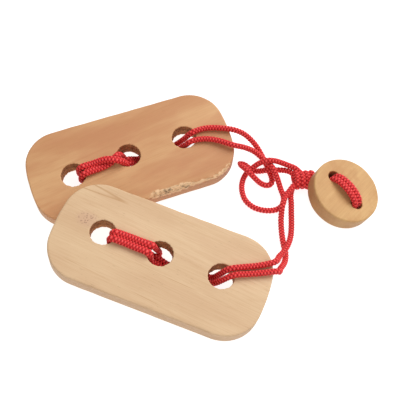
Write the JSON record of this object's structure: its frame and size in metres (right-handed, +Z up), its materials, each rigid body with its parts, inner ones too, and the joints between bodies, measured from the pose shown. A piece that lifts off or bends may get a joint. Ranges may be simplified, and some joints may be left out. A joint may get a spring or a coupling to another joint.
{
  "type": "cord disentanglement puzzle",
  "caption": "Wooden cord puzzle: rounded boards and a disc strung on a knotted red braided cord that laces through their holes.",
  "frame": {"origin": "on the table, under the middle of the box round the two boards and the disc", "axes": "+Z up from the table; +X from the boards towards the disc, along the longest side of that box; +Y from the front board towards the rear board"},
  "size_m": [0.2034, 0.152, 0.0233],
  "materials": {
    "rear_board_wood": "sanded tan wood, lightly rounded edges, dark burnt hole walls",
    "front_board_wood": "sanded pale wood, lightly rounded edges, dark burnt hole walls",
    "disc_wood": "sanded golden wood, lightly rounded edges",
    "cord_red": "matt red braid"
  },
  "bodies": {
    "rear_board": {"rear_board": "rear_board_wood", "rear_lacing": "cord_red"},
    "cord": {"knot": "cord_red", "rear_strand_1": "cord_red", "rear_strand_2": "cord_red", "front_strand_1": "cord_red", "front_strand_2": "cord_red"},
    "front_board": {"front_board": "front_board_wood", "front_lacing": "cord_red"},
    "disc": {"disc": "disc_wood", "disc_strand_1": "cord_red", "disc_strand_2": "cord_red"}
  },
  "joints": [
    {"name": "rear_swing", "type": "hinge", "parent": "rear_board", "child": "cord", "pos_m": [-0.0097, 0.046, 0.0088], "axis": [0, 0, 1], "range_deg": [0, 25], "deforming": ["rear_strand_1", "rear_strand_2", "rear_lacing"]},
    {"name": "front_lift", "type": "hinge", "parent": "cord", "child": "front_board", "pos_m": [0.02843, -0.06613, 0.00002], "axis": [0.585, 0.811, 0], "range_deg": [0, 60], "deforming": ["front_strand_1", "front_strand_2"]},
    {"name": "disc_tip", "type": "hinge", "parent": "cord", "child": "disc", "pos_m": [0.06176, 0.01351, 0.01115], "axis": [-0.2425, -0.9701, 0], "range_deg": [0, 60], "deforming": ["disc_strand_1", "disc_strand_2"]}
  ]
}
